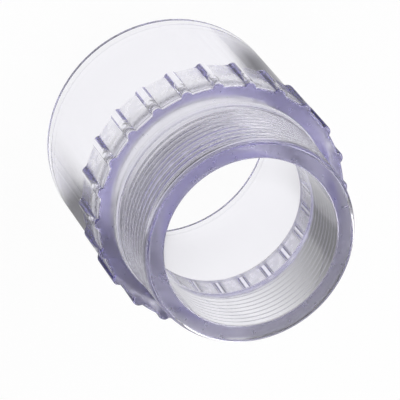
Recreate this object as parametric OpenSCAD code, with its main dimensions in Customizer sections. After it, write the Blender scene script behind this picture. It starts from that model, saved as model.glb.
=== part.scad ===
// Clear PVC male adapter for a 2 inch pipe line, moulded as one piece.
// One end is a plain socket that a pipe is cemented into. The other end is a spigot for a
// 1 in 16 taper pipe thread, drawn here at the size of the thread's crests.
// Between them a ribbed collar gives a strap wrench its grip.
// The socket's mouth stands on the plane Z = 0, and the spigot points along +Z.

/* [Socket] */
// Bore of the pipe socket
socket_d = 60.4; // [54:0.1:72]
// How far the pipe stop's shoulder stands in from the socket's wall
stop_h = 3.85; // [1:0.05:5]
// Plastic between the pipe stop and the plane of the collar's front face
stop_wall = 8.5; // [5:0.1:14]
// Radial width of the lead-in chamfer at the mouth
entry_w = 1.2; // [0.3:0.05:2]
// Depth of the lead-in chamfer at the mouth
entry_l = 1.6; // [0.5:0.1:5]

/* [Hub] */
// Wall of the hub around the socket
hub_wall = 4.7; // [3:0.1:8]
// Length of the plain hub behind the collar
hub_l = 39.7; // [25:0.1:80]
// Radius of the mouth's outer edge
mouth_round = 1.5; // [0.3:0.1:2.5]

/* [Collar] */
// Height of the collar above the hub
collar_h = 0.55; // [0.3:0.05:4]
// Length of the collar
collar_l = 16.6; // [12:0.1:30]
// Radius of the collar's back edge
collar_round = 0.5; // [0.1:0.05:0.5]
// Radius of the collar's front edge, and of the ribs' front ends
front_round = 0.8; // [0.2:0.05:1]
// Number of ribs around the collar
rib_n = 24; // [12:1:30]
// Width of a rib
rib_w = 3.1; // [1.5:0.1:5]
// Height of a rib above the collar
rib_h = 1.05; // [0.4:0.05:2]
// Radius of a rib's long edges
rib_round = 0.7; // [0.2:0.05:0.7]
// Length over which a rib's back end slopes down to the hub
rib_slope = 1.4; // [0.5:0.1:4]

/* [Spigot] */
// Diameter over the thread's crests at the small end
thread_d = 59.4; // [57:0.01:66]
// Length of the taper from the end face to the last turn
thread_l = 23.6; // [15:0.1:40]
// Length on the axis for each unit that the thread's diameter grows
thread_taper = 16; // [10:1:40]
// Plain neck between the last turn and the collar
neck_l = 2.6; // [1:0.1:10]
// Fillet between the neck and the collar
neck_fillet = 0.6; // [0.1:0.05:1]
// Radius of the end face's outer edge
nose_round = 1.5; // [0.3:0.1:2]

/* [Waterway] */
// Bore of the waterway at the threaded end
bore_d = 48.9; // [36:0.1:51]
// Slope of the waterway's wall towards the pipe stop, in degrees
bore_draft = 1.65; // [0:0.05:2.5]
// Length of the cone between the waterway's narrowest ring and the pipe stop
throat_l = 5.4; // [2:0.1:7.5]
// Radius of the narrowest ring's edge
throat_round = 0.6; // [0.1:0.05:0.8]
// Radius of the waterway's edge at the threaded end
bore_round = 0.5; // [0.1:0.05:1]

/* [Hidden] */
$fn = 180;
LARGE_STEPS = 4;
SMALL_STEPS = 2;
OVERLAP = 1;
END_LEAN = 15;

hub_r = socket_d / 2 + hub_wall;
collar_r = hub_r + collar_h;
collar_edge = min(collar_round, collar_h);
rib_r = collar_r + rib_h;
stop_r = socket_d / 2 - stop_h;
nose_r = thread_d / 2;
neck_r = nose_r + thread_l / thread_taper / 2;

collar_back_z = hub_l;
collar_front_z = collar_back_z + collar_l;
thread_back_z = collar_front_z + neck_l;
end_z = thread_back_z + thread_l;
stop_z = collar_front_z - stop_wall;
throat_z = stop_z + throat_l;
throat_r = bore_d / 2 - (end_z - throat_z) * tan(bore_draft);
throat_lean = atan((stop_r - throat_r) / throat_l);

// Points of an arc about [cx, cz] from angle a0 to a1, both ends included, with more of them
// where the radius is over 1 mm
function arc(cx, cz, r, a0, a1) =
    let (steps = r > 1 ? LARGE_STEPS : SMALL_STEPS) [
        for (i = [0 : steps])
            let (a = a0 + (a1 - a0) * i / steps)
                [cx + r * cos(a), cz + r * sin(a)]
    ];

// Points of a round on the throat's edge, tangent to the cone below and the bore above
function throat_edge() =
    let (turn = (throat_lean + bore_draft) / 2)
    let (back = throat_round * tan(turn))
    let (cx = throat_r + throat_round * cos(bore_draft) + back * sin(bore_draft))
    let (cz = throat_z + back * cos(bore_draft) - throat_round * sin(bore_draft))
        arc(cx, cz, throat_round, 180 - bore_draft, 180 + throat_lean);

// Half section of the whole piece: the outside up from the mouth, then the waterway down
module half_section() {
    polygon(concat(
        [[socket_d / 2 + entry_w, 0]],
        arc(hub_r - mouth_round, mouth_round, mouth_round, -90, 0),
        [[hub_r, collar_back_z]],
        arc(collar_r - collar_edge, collar_back_z + collar_edge, collar_edge, -90, 0),
        arc(collar_r - front_round, collar_front_z - front_round, front_round, 0, 90),
        arc(neck_r + neck_fillet, collar_front_z + neck_fillet, neck_fillet, 270, 180),
        [[neck_r, thread_back_z]],
        arc(nose_r - nose_round, end_z - nose_round, nose_round, 0, 90),
        arc(bore_d / 2 + bore_round, end_z - bore_round, bore_round, 90, 180),
        throat_edge(),
        [
            [stop_r, stop_z],
            [socket_d / 2, stop_z],
            [socket_d / 2, entry_l]
        ]
    ));
}

// Section of one rib across the axis, its root sunk into the collar
module rib_section() {
    root_x = collar_r - OVERLAP;
    translate([root_x, -rib_w / 2]) square([rib_r - rib_round - root_x, rib_w]);
    translate([root_x, rib_round - rib_w / 2]) square([rib_r - root_x, rib_w - 2 * rib_round]);
    for (side = [-1, 1])
        translate([rib_r - rib_round, side * (rib_w / 2 - rib_round)]) circle(rib_round, $fn = 32);
}

// Space that the ribs fill: open outwards, sloped where their back ends run down to the hub,
// and rounded at their front ends
module rib_space() {
    rise = rib_r - hub_r;
    far = rise + OVERLAP;
    round_r = rib_r - front_round * cos(END_LEAN);
    round_z = collar_front_z - front_round;
    rotate_extrude()
        polygon(concat(
            [
                [hub_r - OVERLAP, collar_back_z],
                [hub_r, collar_back_z],
                [hub_r + far, collar_back_z + far * rib_slope / rise],
                [hub_r + far, round_z + front_round * sin(END_LEAN) - OVERLAP / tan(END_LEAN)]
            ],
            arc(round_r, round_z, front_round, END_LEAN, 90),
            [[hub_r - OVERLAP, collar_front_z]]
        ));
}

// Ring of ribs, with one rib centred on +X
module ribs() {
    intersection() {
        for (i = [0 : rib_n - 1])
            rotate([0, 0, i * 360 / rib_n])
                translate([0, 0, collar_back_z])
                    linear_extrude(collar_l) rib_section();
        rib_space();
    }
}

module male_adapter() {
    color([0.86, 0.86, 0.93])
        union() {
            rotate_extrude() half_section();
            ribs();
        }
}

male_adapter();
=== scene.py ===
"""Clear moulded pipe adapter with a ribbed collar and a taper thread.

The adapter stands on its socket's mouth, on the plane Z = 0, and its threaded
spigot points along +Z. The classes that shape it hold their sizes in
millimetres. Its mesh, its finish and the studio are in metres. The whole
adapter is one closed skin of clear plastic, so that light bends and is taken
up in it as in the real moulding.
"""

import logging
import math
from dataclasses import dataclass, field
from enum import Enum

import bmesh
import bpy
from mathutils import Matrix, Vector


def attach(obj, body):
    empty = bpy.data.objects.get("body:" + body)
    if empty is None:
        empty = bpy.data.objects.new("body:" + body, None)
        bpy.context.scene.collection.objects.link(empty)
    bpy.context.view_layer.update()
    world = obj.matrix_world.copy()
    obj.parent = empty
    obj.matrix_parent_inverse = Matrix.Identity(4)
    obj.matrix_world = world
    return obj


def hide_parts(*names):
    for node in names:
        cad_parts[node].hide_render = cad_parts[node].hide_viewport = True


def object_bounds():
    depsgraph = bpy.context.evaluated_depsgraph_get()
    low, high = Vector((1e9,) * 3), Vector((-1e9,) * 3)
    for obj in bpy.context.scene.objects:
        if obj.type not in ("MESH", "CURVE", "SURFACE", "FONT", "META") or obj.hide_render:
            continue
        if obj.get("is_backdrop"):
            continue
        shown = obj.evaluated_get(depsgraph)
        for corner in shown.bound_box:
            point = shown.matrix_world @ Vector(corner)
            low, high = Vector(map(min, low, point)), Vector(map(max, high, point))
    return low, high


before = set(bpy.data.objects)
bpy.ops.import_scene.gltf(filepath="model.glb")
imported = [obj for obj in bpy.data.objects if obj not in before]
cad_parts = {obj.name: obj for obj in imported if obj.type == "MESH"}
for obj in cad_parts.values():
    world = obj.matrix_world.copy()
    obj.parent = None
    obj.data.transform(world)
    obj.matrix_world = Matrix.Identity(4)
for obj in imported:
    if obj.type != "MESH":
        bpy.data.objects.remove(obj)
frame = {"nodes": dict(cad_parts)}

MM = 0.001
TURN = 2 * math.pi

# Small lengths of the mesh, in millimetres
SEAM = 0.002  # points of the skin and the thread this close are one
SLIVER = 0.0005  # an edge this short goes
NEAR = 0.01  # room for rounding, where a place is compared with a size

WHITE = (1.0, 1.0, 1.0, 1.0)

logging.basicConfig(level=logging.INFO, format="%(name)s: %(message)s")
log = logging.getLogger("adapter")


class Hand(Enum):
    """Which way a thread winds."""

    RIGHT = 1
    LEFT = -1


class Flats(Enum):
    """How many flats make a corner's round."""

    FEW = 2
    SOME = 4
    MANY = 6


class Ray(Enum):
    """Kinds of ray that see the studio's white, by the output that tells them."""

    CAMERA = "Is Camera Ray"
    GLOSS = "Is Glossy Ray"
    THROUGH = "Is Transmission Ray"


def held(value: float) -> float:
    """Holds a value between 0 and 1."""
    return min(max(value, 0.0), 1.0)


def eased(share: float) -> float:
    """Eases a share in and out, from 0 to 1."""
    return share * share * (3 - 2 * share)


def bearing(azimuth: float, elevation: float) -> Vector:
    """Works out the direction from the adapter to a place in the studio.

    Args:
        azimuth: Angle from +X round the axis, in radians.
        elevation: Height above the horizon, in radians.

    Returns:
        The direction, of length 1.
    """
    flat = math.cos(elevation)
    return Vector((flat * math.cos(azimuth), flat * math.sin(azimuth), math.sin(elevation)))


def shown(name: str, data: bpy.types.ID) -> bpy.types.Object:
    """Puts an object into the scene.

    Args:
        name: The object's name.
        data: Its mesh, lamp or lens.

    Returns:
        The object.
    """
    made = bpy.data.objects.new(name, data)
    bpy.context.scene.collection.objects.link(made)
    return made


# Shader nodes in Python expressions


class NodeValue:
    """One value of a shader, which can be used in Python sums."""

    def __init__(self, graph: "Graph", out: bpy.types.NodeSocket) -> None:
        """Wraps a node's output.

        Args:
            graph: The shader that the node is in.
            out: The node's output.
        """
        self.graph = graph
        self.out = out

    def _math(self, operation: str, *values: "NodeValue | float") -> "NodeValue":
        """Adds one Math node.

        Args:
            operation: The Math node's operation.
            values: What goes into its sockets, in order.

        Returns:
            The node's value.
        """
        return self.graph.node("ShaderNodeMath", {"operation": operation}, dict(enumerate(values)))

    def __add__(self, other: "NodeValue | float") -> "NodeValue":
        """self + other."""
        return self._math("ADD", self, other)

    def __radd__(self, other: float) -> "NodeValue":
        """other + self."""
        return self._math("ADD", other, self)

    def __sub__(self, other: "NodeValue | float") -> "NodeValue":
        """self - other."""
        return self._math("SUBTRACT", self, other)

    def __rsub__(self, other: float) -> "NodeValue":
        """other - self."""
        return self._math("SUBTRACT", other, self)

    def __mul__(self, other: "NodeValue | float") -> "NodeValue":
        """self * other."""
        return self._math("MULTIPLY", self, other)

    def __rmul__(self, other: float) -> "NodeValue":
        """other * self."""
        return self._math("MULTIPLY", other, self)

    def __truediv__(self, other: "NodeValue | float") -> "NodeValue":
        """self / other."""
        return self._math("DIVIDE", self, other)

    def __rtruediv__(self, other: float) -> "NodeValue":
        """other / self."""
        return self._math("DIVIDE", other, self)

    def held(self) -> "NodeValue":
        """Holds the value between 0 and 1."""
        return self._math("MINIMUM", self._math("MAXIMUM", self, 0.0), 1.0)

    def eased(self) -> "NodeValue":
        """Eases a share in and out, from 0 to 1."""
        return self * self * (3.0 - 2.0 * self)


class Graph:
    """The nodes of one material or of the world."""

    def __init__(self, owner: bpy.types.Material | bpy.types.World) -> None:
        """Turns the owner's nodes on and empties them.

        Args:
            owner: The material or world to build in.
        """
        owner.use_nodes = True
        self.tree = owner.node_tree
        self.tree.nodes.clear()

    def node(
        self,
        kind: str,
        settings: dict[str, object] | None = None,
        values: dict[str | int, object] | None = None,
        out: str | int = 0,
    ) -> NodeValue | None:
        """Adds a node of any type.

        Args:
            kind: The node's type.
            settings: Its properties, which are set before its sockets.
            values: What its sockets hold, a number, a colour or another node's value.
            out: The output that is handed back.

        Returns:
            The chosen output, or None for a node that has none.
        """
        made = self.tree.nodes.new(kind)
        for name, setting in (settings or {}).items():
            setattr(made, name, setting)
        for name, value in (values or {}).items():
            if isinstance(value, NodeValue):
                self.tree.links.new(value.out, made.inputs[name])
            else:
                made.inputs[name].default_value = value
        return NodeValue(self, made.outputs[out]) if len(made.outputs) else None

    def place(self, kind: str) -> NodeValue:
        """Reads one of the Texture Coordinate node's outputs."""
        return self.node("ShaderNodeTexCoord", out=kind)

    def ray(self, kind: Ray) -> NodeValue:
        """Tells one kind of ray: 1 for such a ray, 0 for any other."""
        return self.node("ShaderNodeLightPath", out=kind.value)

    def part(self, vector: NodeValue, axis: str) -> NodeValue:
        """Takes one axis, X, Y or Z, out of a vector."""
        return self.node("ShaderNodeSeparateXYZ", values={0: vector}, out=axis)

    def vector(
        self, operation: str, *values: NodeValue | tuple[float, float, float], out: str = "Vector"
    ) -> NodeValue:
        """Adds one Vector Math node.

        Args:
            operation: The node's operation.
            values: What goes into its sockets, in order.
            out: Its output, Vector or Value.

        Returns:
            The node's vector or value.
        """
        return self.node(
            "ShaderNodeVectorMath", {"operation": operation}, dict(enumerate(values)), out
        )

    def noise(self, where: NodeValue, scale: float, detail: float) -> NodeValue:
        """Adds soft noise between 0 and 1.

        Args:
            where: The point that it is read at.
            scale: How many patches there are to a metre.
            detail: How many finer layers there are.

        Returns:
            The noise's value.
        """
        return self.node(
            "ShaderNodeTexNoise", values={"Vector": where, "Scale": scale, "Detail": detail}
        )


# The adapter's finish, in metres


@dataclass(frozen=True)
class Band:
    """A band round the adapter whose skin isn't polished.

    Its roughness is even, or mottled where the scuffs' noise adds to it.
    """

    dulled: float
    radii: tuple[float, float]
    places: tuple[float, float]
    even: float = 1.0
    mottled: float = 0.0
    rim_slope: float = 20000.0  # how fast it sets in at a radius, for each metre
    end_slope: float = 4000.0  # and at its two ends

    def mask(self, r: NodeValue, z: NodeValue) -> NodeValue:
        """Marks the band.

        Args:
            r: Distance from the axis.
            z: Place along the axis.

        Returns:
            1 in the band, 0 elsewhere.
        """
        inner, outer = self.radii
        back, front = self.places
        ring = ((r - inner) * self.rim_slope).held() * ((outer - r) * self.rim_slope).held()
        length = ((z - back) * self.end_slope).held() * ((front - z) * self.end_slope).held()
        return ring * length

    def roughness(self, r: NodeValue, z: NodeValue, scuff: NodeValue) -> NodeValue:
        """Works out how much rougher the skin is in the band.

        Args:
            r: Distance from the axis.
            z: Place along the axis.
            scuff: The scuffs' noise.

        Returns:
            The roughness that is added, 0 outside the band.
        """
        return self.dulled * self.mask(r, z) * (self.even + self.mottled * scuff)


@dataclass(frozen=True)
class ClearPlastic:
    """Clear rigid plastic with the faint violet tint of a see-through pipe fitting.

    The skin is polished, with soft ripples where the melt flowed along the mould
    and fine scuffs. It is duller on the faces that look along the axis, on the
    panels between the ribs, in the thread's turns, and round the pipe stop.
    """

    name: str = "clear_plastic"
    ior: float = 1.54
    tint: tuple[float, float, float] = (0.19, 0.13, 0.60)
    density: float = 16.0  # light is taken up by this times 1 less the tint, for each metre

    # Ripples: patches to a metre, finer layers, their share of that along the axis, and height
    flow_scale: float = 90.0
    flow_detail: float = 2.0
    flow_along: float = 0.22
    ripple: float = 0.00006

    # Roughness of the polish and of its scuffs, and where the scuffs' noise sets them in
    gloss: float = 0.02
    scuffed: float = 0.05
    scuff_scale: float = 420.0
    scuff_detail: float = 4.0
    scuff_from: float = 0.52
    scuff_slope: float = 4.0

    # Roughness of the faces along the axis, and how far up a face has to look to be one
    faced: float = 0.28
    faced_even: float = 0.7
    faced_mottled: float = 0.6
    facing_from: float = 0.93
    facing_slope: float = 20.0

    panels: Band = Band(0.27, (0.03536, 0.0356), (0.0402, 0.0558), even=0.4, mottled=1.2)
    turns: Band = Band(0.18, (0.0275, 0.0320), (0.0588, 0.0808))
    pipe_stop: Band = Band(0.3, (0.0225, 0.0300), (0.0474, 0.0550))

    def material(self) -> bpy.types.Material:
        """Makes the material.

        Returns:
            Clear plastic that takes up light by depth, with soft flow ripples in its skin.
        """
        made = bpy.data.materials.new(self.name)
        g = Graph(made)
        here = g.place("Object")
        skin = g.node(
            "ShaderNodeBsdfPrincipled",
            values={
                "Base Color": WHITE,
                "Roughness": self._roughness(g, here),
                "IOR": self.ior,
                "Transmission Weight": 1.0,
                "Normal": self._ripples(g, here),
            },
        )
        inside = g.node(
            "ShaderNodeVolumeAbsorption",
            values={"Color": (*self.tint, 1.0), "Density": self.density},
        )
        g.node("ShaderNodeOutputMaterial", values={"Surface": skin, "Volume": inside})
        return made

    def _ripples(self, g: Graph, here: NodeValue) -> NodeValue:
        """Bends the skin's normal by the melt's flow.

        Args:
            g: The material's nodes.
            here: The point on the adapter.

        Returns:
            The bent normal.
        """
        along = g.node(
            "ShaderNodeMapping", values={"Vector": here, "Scale": (1.0, 1.0, self.flow_along)}
        )
        flow = g.noise(along, self.flow_scale, self.flow_detail)
        return g.node(
            "ShaderNodeBump", values={"Height": flow, "Distance": self.ripple, "Strength": 1.0}
        )

    def _roughness(self, g: Graph, here: NodeValue) -> NodeValue:
        """Works out how rough the skin is.

        Args:
            g: The material's nodes.
            here: The point on the adapter.

        Returns:
            The roughness.
        """
        scuff = g.noise(here, self.scuff_scale, self.scuff_detail)
        patches = ((scuff - self.scuff_from) * self.scuff_slope).held()
        rough = self.gloss + (self.scuffed - self.gloss) * patches
        mottle = self.faced_even + self.faced_mottled * scuff
        rough = rough + self.faced * self._facing_up(g) * mottle
        r = g.vector("LENGTH", g.vector("MULTIPLY", here, (1.0, 1.0, 0.0)), out="Value")
        z = g.part(here, "Z")
        for band in (self.panels, self.turns, self.pipe_stop):
            rough = rough + band.roughness(r, z, scuff)
        return rough

    def _facing_up(self, g: Graph) -> NodeValue:
        """Marks the flat faces that look along the axis, towards the threaded end.

        Args:
            g: The material's nodes.

        Returns:
            1 on them, 0 elsewhere.
        """
        up = g.part(g.place("Normal"), "Z")
        return ((up - self.facing_from) * self.facing_slope).held()


# The adapter's sub-assemblies, in millimetres


@dataclass(frozen=True)
class Corner:
    """One corner of a half section."""

    r: float
    z: float
    radius: float = 0.0
    flats: Flats = Flats.SOME


@dataclass
class PipeSocket:
    """The plain socket that a pipe is pushed and cemented into."""

    bore_r: float = 30.2
    stop_r: float = 26.35
    stop_z: float = 47.8
    stop_edge: float = 0.6
    stop_fillet: float = 2.8
    entry_w: float = 1.2
    entry_l: float = 1.6
    entry_round: float = 0.6
    mouth_edge: float = 0.15

    def corners(self) -> list[Corner]:
        """Lists its half section, down from the pipe stop to the mouth.

        Returns:
            Corners in order.
        """
        return [
            Corner(self.stop_r, self.stop_z, self.stop_edge),
            Corner(self.bore_r, self.stop_z, self.stop_fillet, Flats.MANY),
            Corner(self.bore_r, self.entry_l, self.entry_round),
            Corner(self.bore_r + self.entry_w, 0.0, self.mouth_edge, Flats.FEW),
        ]


@dataclass
class Hub:
    """The plain outside behind the collar."""

    r: float = 34.9
    mouth_round: float = 1.5
    collar_fillet: float = 0.2

    def corners(self, collar_z: float) -> list[Corner]:
        """Lists its half section, up from the mouth to the collar.

        Args:
            collar_z: Where the collar starts.

        Returns:
            Corners in order.
        """
        return [
            Corner(self.r, 0.0, self.mouth_round, Flats.MANY),
            Corner(self.r, collar_z, self.collar_fillet, Flats.FEW),
        ]


@dataclass
class Collar:
    """The ribbed band that a strap wrench grips.

    The skin's columns and stations are given as shares, so that they stay close
    together on a rib's flanks and on its rounded back end.
    """

    r: float = 35.45
    back_z: float = 39.7
    front_z: float = 56.3
    back_round: float = 0.5
    front_round: float = 0.8
    ribs: int = 24
    rib_w: float = 3.1
    rib_h: float = 1.05
    crown: float = 2.8  # 2 is a plain arch, and more is squarer
    nose_l: float = 1.1
    foot: float = 0.16
    rib_columns: tuple[float, ...] = (0.25, 0.48, 0.66, 0.80, 0.91)
    panel_column: float = 0.4
    nose_stations: tuple[float, ...] = (0.2, 0.4, 0.6, 0.8, 1.0, 1.3)

    @property
    def crest_r(self) -> float:
        """Radius over the ribs."""
        return self.r + self.rib_h

    @property
    def share(self) -> float:
        """Angle from one rib to the next."""
        return TURN / self.ribs

    def corners(self) -> list[Corner]:
        """Lists its half section, from back to front.

        Returns:
            Corners in order, with plain stations where the ribs' back ends rise.
        """
        start = self.back_z + self.back_round
        length = self.nose_l - self.back_round
        return [
            Corner(self.r, self.back_z, self.back_round),
            *(Corner(self.r, start + station * length) for station in self.nose_stations),
            Corner(self.r, self.front_z, self.front_round, Flats.MANY),
        ]

    def columns(self) -> list[float]:
        """Places the skin's columns over half a rib's share of the collar.

        Returns:
            Lengths from the rib's middle, up to the middle of the panel beside it.
        """
        half = self.rib_w / 2
        panel = self.share / 2 * self.crest_r
        across = [half * part for part in self.rib_columns]
        return [*across, half, half + self.foot, half + (panel - half) * self.panel_column, panel]

    def height(self, across: float) -> float:
        """Works out the height of a rib's section.

        Args:
            across: Length from the rib's middle, along the collar.

        Returns:
            Height over the collar, 0 beside the rib.
        """
        out = across / (self.rib_w / 2 + self.foot)
        return self.rib_h * max(1.0 - out**self.crown, 0.0)

    def rise(self, z: float) -> float:
        """Works out how much of a rib's height there is at a place along it.

        Args:
            z: The place.

        Returns:
            0 behind the rib's back end, 1 along its full length.
        """
        way = held((z - self.back_z) / self.nose_l)
        return math.sqrt(1.0 - (1.0 - way) ** 2)


@dataclass
class Thread:
    """The taper thread, cut into the cone that its crests lie on.

    Places across one turn are shares of the pitch, 0 on a crest and 0.5 at a root.
    """

    nose_r: float = 29.7
    end_z: float = 82.5
    length: float = 23.6
    taper: float = 16.0
    pitch: float = 25.4 / 11.5
    depth: float = 1.35
    crest: float = 0.05  # half of the crest's flat
    flank: float = 0.40
    nose_round: float = 1.5
    lead_in: float = 1.7
    run_out: float = 1.3
    start: float = 0.2  # how far the turns are moved towards the end face, in turns
    hand: Hand = Hand.RIGHT
    falling: tuple[float, ...] = (0.0, 0.05, 0.10, 0.24, 0.40, 0.45)  # stations down to the root
    rising: tuple[float, ...] = (0.5, 0.55, 0.60, 0.76, 0.90, 0.95)  # and up to the next crest
    spare_turns: int = 1  # past each end, besides the turn that winding adds

    @property
    def back_z(self) -> float:
        """Where the last turn ends."""
        return self.end_z - self.length

    @property
    def front_z(self) -> float:
        """Where the end face's round starts."""
        return self.end_z - self.nose_round

    def cone(self, z: float) -> float:
        """Gives the radius over the crests at a place along the spigot."""
        return self.nose_r + (self.end_z - z) / self.taper / 2

    def cut(self, place: float) -> float:
        """Works out the groove's depth at a place across one turn.

        Args:
            place: The place, in turns.

        Returns:
            The depth's share, from 0 to 1.
        """
        away = abs((place + 0.5) % 1.0 - 0.5)
        return held((away - self.crest) / self.flank)

    def fade(self, z: float) -> float:
        """Works out how deep the thread is at a place along the spigot.

        Args:
            z: The place.

        Returns:
            0 beyond its ends, 1 along its length.
        """
        front = held((self.front_z - z) / self.lead_in)
        back = held((z - self.back_z) / self.run_out)
        return eased(front) * eased(back)

    def sleeve(self, steps: int) -> bmesh.types.BMesh:
        """Winds one line of stations into the threaded skin.

        The line is longer than the thread. What is past an end is pressed on to
        that end, and is gone once doubles are merged.

        Args:
            steps: Columns round the adapter.

        Returns:
            The skin between the neck and the end face's round, in millimetres.
        """
        sleeve = bmesh.new()
        pitch = self.pitch * self.hand.value
        first = math.floor(self.back_z / self.pitch) - 1 - self.spare_turns
        last = math.ceil(self.front_z / self.pitch) + self.spare_turns
        line = [
            sleeve.verts.new((self.nose_r, 0.0, (turn + station) * self.pitch))
            for turn in range(first, last)
            for station in self.falling + self.rising
        ]
        edges = [sleeve.edges.new(pair) for pair in zip(line, line[1:])]
        bmesh.ops.spin(
            sleeve,
            geom=line + edges,
            cent=(0, 0, 0),
            axis=(0, 0, 1),
            dvec=(0, 0, pitch / steps),
            angle=TURN,
            steps=steps,
            use_merge=False,
        )
        for v in sleeve.verts:
            angle = math.atan2(v.co.y, v.co.x) % TURN
            place = v.co.z / pitch - angle / TURN
            z = min(max(v.co.z + self.start * self.pitch, self.back_z), self.front_z)
            r = self.cone(z) - self.depth * self.cut(place) * self.fade(z)
            v.co = (r * math.cos(angle), r * math.sin(angle), z)
        bmesh.ops.remove_doubles(sleeve, verts=sleeve.verts, dist=SLIVER)
        bmesh.ops.dissolve_degenerate(sleeve, edges=sleeve.edges, dist=SLIVER)
        return sleeve


@dataclass
class Waterway:
    """The bore of the spigot and its narrow ring over the pipe stop."""

    bore_r: float = 24.45
    draft: float = 1.65
    end_round: float = 0.5
    throat_l: float = 5.4
    throat_round: float = 0.6

    def corners(self, end_z: float, stop_z: float) -> list[Corner]:
        """Lists its half section, down from the end face to the pipe stop.

        Args:
            end_z: Where the end face is.
            stop_z: Where the pipe stop is.

        Returns:
            Corners in order.
        """
        throat_z = stop_z + self.throat_l
        throat_r = self.bore_r - (end_z - throat_z) * math.tan(math.radians(self.draft))
        return [
            Corner(self.bore_r, end_z, self.end_round),
            Corner(throat_r, throat_z, self.throat_round),
        ]


@dataclass
class Columns:
    """Where the skin's columns stand round the adapter: close together on the ribs' flanks."""

    collar: Collar
    angles: list[float] = field(default_factory=list)

    def __post_init__(self) -> None:
        """Works out the angle of each column, with a rib's middle at 0."""
        share = self.collar.share
        side = [length / self.collar.crest_r for length in self.collar.columns()]
        for rib in range(self.collar.ribs):
            middle = rib * share
            self.angles += [middle, *(middle + a for a in side)]
            self.angles += [middle + share - a for a in reversed(side[:-1])]

    @property
    def count(self) -> int:
        """How many columns there are."""
        return len(self.angles)

    def angle(self, turned: float) -> float:
        """Finds where an evenly spun column goes.

        Args:
            turned: The angle that the spin gave it.

        Returns:
            The angle that it should have.
        """
        step = round(turned / (TURN / self.count))
        return self.angles[step % self.count] + (TURN if step == self.count else 0.0)


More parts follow.
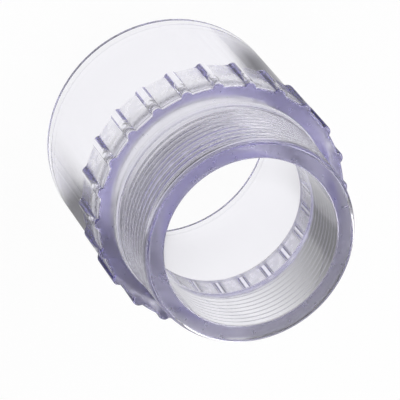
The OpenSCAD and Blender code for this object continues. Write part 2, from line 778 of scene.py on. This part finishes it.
@dataclass
class Adapter:
    """The whole moulding, as one closed skin."""

    name: str = "adapter_body"
    pipe_socket: PipeSocket = field(default_factory=PipeSocket)
    hub: Hub = field(default_factory=Hub)
    collar: Collar = field(default_factory=Collar)
    thread: Thread = field(default_factory=Thread)
    waterway: Waterway = field(default_factory=Waterway)
    neck_fillet: float = 0.6
    finish: ClearPlastic = field(default_factory=ClearPlastic)
    flat_lead: int = 50  # how much more a large flat face counts in the shading

    def half_section(self) -> list[Corner]:
        """Lists the whole half section but for the thread, from the end face to the neck.

        Returns:
            Corners in order, the first and last at the thread's two ends.
        """
        t = self.thread
        neck_r = t.cone(t.back_z)
        return [
            Corner(t.cone(t.front_z), t.front_z),
            Corner(t.nose_r, t.end_z, t.nose_round, Flats.MANY),
            *self.waterway.corners(t.end_z, self.pipe_socket.stop_z),
            *self.pipe_socket.corners(),
            *self.hub.corners(self.collar.back_z),
            *self.collar.corners(),
            Corner(neck_r, self.collar.front_z, self.neck_fillet),
            Corner(neck_r, t.back_z),
        ]

    def turned(self, steps: int) -> bmesh.types.BMesh:
        """Spins the half section, open where the thread goes.

        Args:
            steps: Columns round the adapter.

        Returns:
            The skin, in millimetres.
        """
        skin = bmesh.new()
        corners = self.half_section()
        points = [skin.verts.new((c.r, 0.0, c.z)) for c in corners]
        skin.faces.new(points)
        for corner, point in zip(corners, points):
            if corner.radius:
                self._soften(skin, corner, point)
        bmesh.ops.delete(skin, geom=list(skin.faces), context="FACES_ONLY")
        thread_side = skin.edges.get((points[0], points[-1]))
        bmesh.ops.delete(skin, geom=[thread_side], context="EDGES_FACES")
        bmesh.ops.spin(
            skin,
            geom=list(skin.verts) + list(skin.edges),
            cent=(0, 0, 0),
            axis=(0, 0, 1),
            dvec=(0, 0, 0),
            angle=TURN,
            steps=steps,
            use_merge=True,
        )
        return skin

    def _soften(self, skin: bmesh.types.BMesh, corner: Corner, point: bmesh.types.BMVert) -> None:
        """Rounds one corner of the flat half section.

        Args:
            skin: The mesh that holds it.
            corner: The corner's round.
            point: The corner's vertex.
        """
        a, b = (e.other_vert(point).co - point.co for e in point.link_edges)
        bmesh.ops.bevel(
            skin,
            geom=[point],
            offset=corner.radius / math.tan(a.angle(b) / 2),
            offset_type="OFFSET",
            segments=corner.flats.value,
            profile=0.5,
            affect="VERTICES",
            clamp_overlap=False,
            material=-1,
        )

    def _place_columns(self, skin: bmesh.types.BMesh, columns: Columns) -> None:
        """Turns each column to its place and raises the ribs.

        Args:
            skin: The spun skin.
            columns: Where the columns go.
        """
        c = self.collar
        inside_r = self.hub.r - self.hub.mouth_round - NEAR
        collar_r = c.r - c.front_round - NEAR
        for v in skin.verts:
            r = math.hypot(v.co.x, v.co.y)
            if r < inside_r:
                continue
            angle = columns.angle(math.atan2(v.co.y, v.co.x) % TURN)
            if r > collar_r and c.back_z - NEAR < v.co.z < c.front_z + NEAR:
                away = abs((angle + c.share / 2) % c.share - c.share / 2)
                r += c.height(away * c.crest_r) * c.rise(v.co.z)
            v.co.x, v.co.y = r * math.cos(angle), r * math.sin(angle)

    def skin(self) -> bmesh.types.BMesh:
        """Joins the turned skin and the threaded sleeve.

        Returns:
            The closed skin, in metres.
        """
        columns = Columns(self.collar)
        skin = self.turned(columns.count)
        self._place_columns(skin, columns)
        sleeve = self.thread.sleeve(columns.count)
        part = bpy.data.meshes.new("sleeve")
        sleeve.to_mesh(part)
        sleeve.free()
        skin.from_mesh(part)
        bpy.data.meshes.remove(part)
        bmesh.ops.remove_doubles(skin, verts=skin.verts, dist=SEAM)
        bmesh.ops.recalc_face_normals(skin, faces=skin.faces)
        bmesh.ops.transform(skin, matrix=Matrix.Scale(MM, 4), verts=skin.verts)
        return skin

    def build(self) -> bpy.types.Object:
        """Makes the adapter's mesh and dresses it.

        Returns:
            The finished object.
        """
        skin = self.skin()
        open_edges = sum(not edge.is_manifold for edge in skin.edges)
        if open_edges:
            log.warning("%s: %d open edges", self.name, open_edges)
        for face in skin.faces:
            face.smooth = True
        mesh = bpy.data.meshes.new(self.name)
        skin.to_mesh(mesh)
        skin.free()
        mesh.materials.append(self.finish.material())
        body = shown(self.name, mesh)
        shade = body.modifiers.new("flat_faces_lead", "WEIGHTED_NORMAL")
        shade.weight = self.flat_lead
        return body


# The studio, in metres


@dataclass(frozen=True)
class Pool:
    """A soft oval of painted light on the studio floor's glow, as gloss and clear plastic see it;
    no lamp casts it.
    """

    at: tuple[float, float]
    size: tuple[float, float]  # its two half lengths
    turn: float = 0.0  # in degrees
    edge: float = 0.3  # how far it fades to each side of its rim, as a share of its size
    level: float = 1.0  # how bright it is, where 1 is white

    def over(self, g: Graph, here: NodeValue, below: NodeValue | float) -> NodeValue:
        """Lays the pool over what is lit already.

        Args:
            g: The floor's nodes.
            here: The point on the floor.
            below: How bright the floor is without it.

        Returns:
            How bright the floor is with it.
        """
        # painted light: the oval sets the floor's emission level, not a lamp's light
        placed = g.node(
            "ShaderNodeMapping",
            {"vector_type": "TEXTURE"},
            {
                "Vector": here,
                "Location": (*self.at, 0.0),
                "Rotation": (0.0, 0.0, math.radians(self.turn)),
                "Scale": (*self.size, 1.0),
            },
        )
        out = g.vector("LENGTH", placed, out="Value")
        inside = ((1.0 + self.edge - out) / (2 * self.edge)).held()
        return below + (self.level - below) * inside.eased()


@dataclass(frozen=True)
class Sweep:
    """White studio paper that keeps a faint shadow; gloss and clear plastic see painted light and
    painted shade in its glow.

    To the eye it is white. Gloss and clear plastic see it white from the first pool's rim
    outwards, with painted shade inside it, and painted light again in the smaller pools there.
    """

    name: str = "studio_paper"
    colour: tuple[float, float, float] = (0.96, 0.96, 0.96)
    shade: float = 0.04  # the share of the paper's own shading that shows
    beyond: float = 1.0
    pools: tuple[Pool, ...] = (
        # the first pool is painted shade, a dim zone in the floor's glow; the smaller pools are
        # painted light
        Pool(at=(0.0, 0.0), size=(0.65, 0.65), level=0.18),
        Pool(at=(0.109, 0.275), size=(0.202, 0.107), turn=67.0, edge=0.65),
        Pool(at=(-0.068, -0.050), size=(0.205, 0.0370), edge=0.2),
        Pool(at=(0.002, -0.0095), size=(0.037, 0.0165), edge=0.2, level=0.97),
        Pool(at=(0.0024, 0.047), size=(0.0290, 0.0220), edge=0.2),
        Pool(at=(-0.0195, 0.0195), size=(0.02, 0.03), turn=40.0, edge=0.9),
    )

    def material(self) -> bpy.types.Material:
        """Makes the material.

        Returns:
            White paper, shaded a little, with its painted pools of light and shade for gloss and
            clear plastic.
        """
        made = bpy.data.materials.new(self.name)
        g = Graph(made)
        camera, gloss, through = (g.ray(kind) for kind in Ray)
        seen = (camera + gloss + through).held()
        here = g.place("Object")
        level = self.beyond
        # painted light and shade: the pools set the glow that gloss and clear plastic see
        for pool in self.pools:
            level = pool.over(g, here, level)
        level = camera + (1.0 - camera) * level
        paper = g.node("ShaderNodeBsdfDiffuse", values={"Color": (*self.colour, 1.0)})
        white = g.node("ShaderNodeEmission", values={"Color": WHITE, "Strength": level})
        both = g.node(
            "ShaderNodeMixShader", values={0: seen * (1.0 - self.shade), 1: paper, 2: white}
        )
        g.node("ShaderNodeOutputMaterial", values={"Surface": both})
        return made


@dataclass
class Floor:
    """The studio's floor, a little under the adapter's mouth."""

    r: float = 4.0
    sides: int = 96
    drop: float = 0.0002
    paper: Sweep = field(default_factory=Sweep)

    def build(self) -> bpy.types.Object:
        """Lays the floor.

        Returns:
            The floor.
        """
        disc = bmesh.new()
        bmesh.ops.create_circle(disc, cap_ends=True, segments=self.sides, radius=self.r)
        bmesh.ops.translate(disc, vec=(0, 0, -self.drop), verts=disc.verts)
        mesh = bpy.data.meshes.new("floor")
        disc.to_mesh(mesh)
        disc.free()
        mesh.materials.append(self.paper.material())
        made = shown("floor", mesh)
        made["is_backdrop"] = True
        return made


@dataclass(frozen=True)
class Surround:
    """The light from all round: a dim sky over a white horizon, and plain white to the eye."""

    sky: float = 0.12
    haze_z: tuple[float, float] = (0.04, 0.14)  # rise of a way out, from white to sky

    def build(self) -> bpy.types.World:
        """Lights the studio from all round.

        Returns:
            The world.
        """
        made = bpy.data.worlds.new("studio")
        bpy.context.scene.world = made
        g = Graph(made)
        camera = g.ray(Ray.CAMERA)
        rise = g.part(g.place("Generated"), "Z")
        low, high = self.haze_z
        haze = ((high - rise) / (high - low)).held()
        level = camera + (1.0 - camera) * (self.sky + (1.0 - self.sky) * haze)
        light = g.node("ShaderNodeBackground", values={"Color": WHITE, "Strength": level})
        g.node("ShaderNodeOutputWorld", values={"Surface": light})
        return made


@dataclass(frozen=True)
class Lamp:
    """A soft lamp, aimed at the middle of the adapter. Angles are in degrees."""

    name: str
    azimuth: float
    elevation: float
    distance: float
    size: tuple[float, float]
    watts: float
    aim_z: float = 0.04

    def build(self) -> bpy.types.Object:
        """Hangs the lamp.

        Returns:
            The lamp, which the camera doesn't see.
        """
        light = bpy.data.lights.new(self.name, "AREA")
        light.shape = "RECTANGLE"
        light.size, light.size_y = self.size
        light.energy = self.watts
        away = bearing(math.radians(self.azimuth), math.radians(self.elevation))
        made = shown(self.name, light)
        made.location = Vector((0, 0, self.aim_z)) + away * self.distance
        made.rotation_mode = "QUATERNION"
        made.rotation_quaternion = away.to_track_quat("Z", "Y")
        made.visible_camera = False
        return made


@dataclass(frozen=True)
class Camera:
    """The camera at the photograph's angle. Angles are in degrees, lengths in millimetres."""

    azimuth: float = 272.7
    elevation: float = 61.42
    roll: float = 142.03
    distance: float = 1076.0
    aim: tuple[float, float, float] = (0.0, 0.0, 82.5)
    off_centre: tuple[float, float] = (13.83, 11.57)  # how far the camera stands left and up
    lens: float = 360.0
    sensor: float = 36.0
    clip: tuple[float, float] = (0.05, 50.0)  # in metres

    def build(self) -> bpy.types.Object:
        """Sets up the camera and makes it the scene's.

        Returns:
            The camera.
        """
        az, el, ro = (math.radians(a) for a in (self.azimuth, self.elevation, self.roll))
        back = bearing(az, el)
        level = Vector((-math.sin(az), math.cos(az), 0.0))
        rise = back.cross(level)
        right = math.cos(ro) * level + math.sin(ro) * rise
        up = math.cos(ro) * rise - math.sin(ro) * level
        lens = bpy.data.cameras.new("camera")
        lens.lens = self.lens
        lens.sensor_width = self.sensor
        lens.clip_start, lens.clip_end = self.clip
        left, over = self.off_centre
        place = Vector(self.aim) + back * self.distance
        place += up * over - right * left
        turn = Matrix((right, up, back)).transposed()
        made = shown("camera", lens)
        made.matrix_world = Matrix.Translation(place * MM) @ turn.to_4x4()
        bpy.context.scene.camera = made
        return made


@dataclass
class Studio:
    """Camera, floor and soft light."""

    camera: Camera = field(default_factory=Camera)
    floor: Floor = field(default_factory=Floor)
    surround: Surround = field(default_factory=Surround)
    lamps: tuple[Lamp, ...] = (
        Lamp("side_box", 175.0, 38.5, distance=1.1, size=(1.60, 0.46), watts=9.2),
        Lamp("left_box", 23.0, 28.5, distance=1.1, size=(1.54, 0.33), watts=5.5),
        Lamp("top_box", 45.0, 70.0, distance=1.4, size=(0.46, 0.46), watts=2.9),
    )
    bounces: int = 40  # enough for light that runs round inside the plastic

    def build(self) -> list[bpy.types.ID]:
        """Sets up the whole studio.

        Returns:
            Its camera, floor, world and lamps.
        """
        scene = bpy.context.scene
        scene.view_settings.view_transform = "Standard"
        scene.cycles.max_bounces = self.bounces
        scene.cycles.glossy_bounces = self.bounces
        scene.cycles.transmission_bounces = self.bounces
        parts = (self.camera, self.floor, self.surround, *self.lamps)
        return [part.build() for part in parts]


def write_sizes(before: tuple[Vector, Vector], after: tuple[Vector, Vector]) -> None:
    """Logs the size of the finished model's box less the solid's, in millimetres.

    Args:
        before: Corners of the solid's box.
        after: Corners of the finished model's box.
    """
    over = [round((a - b) / MM, 3) for a, b in zip(after[1] - after[0], before[1] - before[0])]
    log.info("finished model less the solid, in mm: %s", over)


def main() -> None:
    """Builds the studio and the adapter in the frame, and reports each piece."""
    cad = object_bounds()
    log.info("frame: %s", ", ".join(frame["nodes"]))
    for part in Studio().build():
        log.info("studio: %s", part.name)
    body = Adapter().build()
    log.info("%s: %d faces", body.name, len(body.data.polygons))
    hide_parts("male_adapter")
    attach(body, "root")
    write_sizes(cad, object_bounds())


if __name__ == "__main__":
    main()
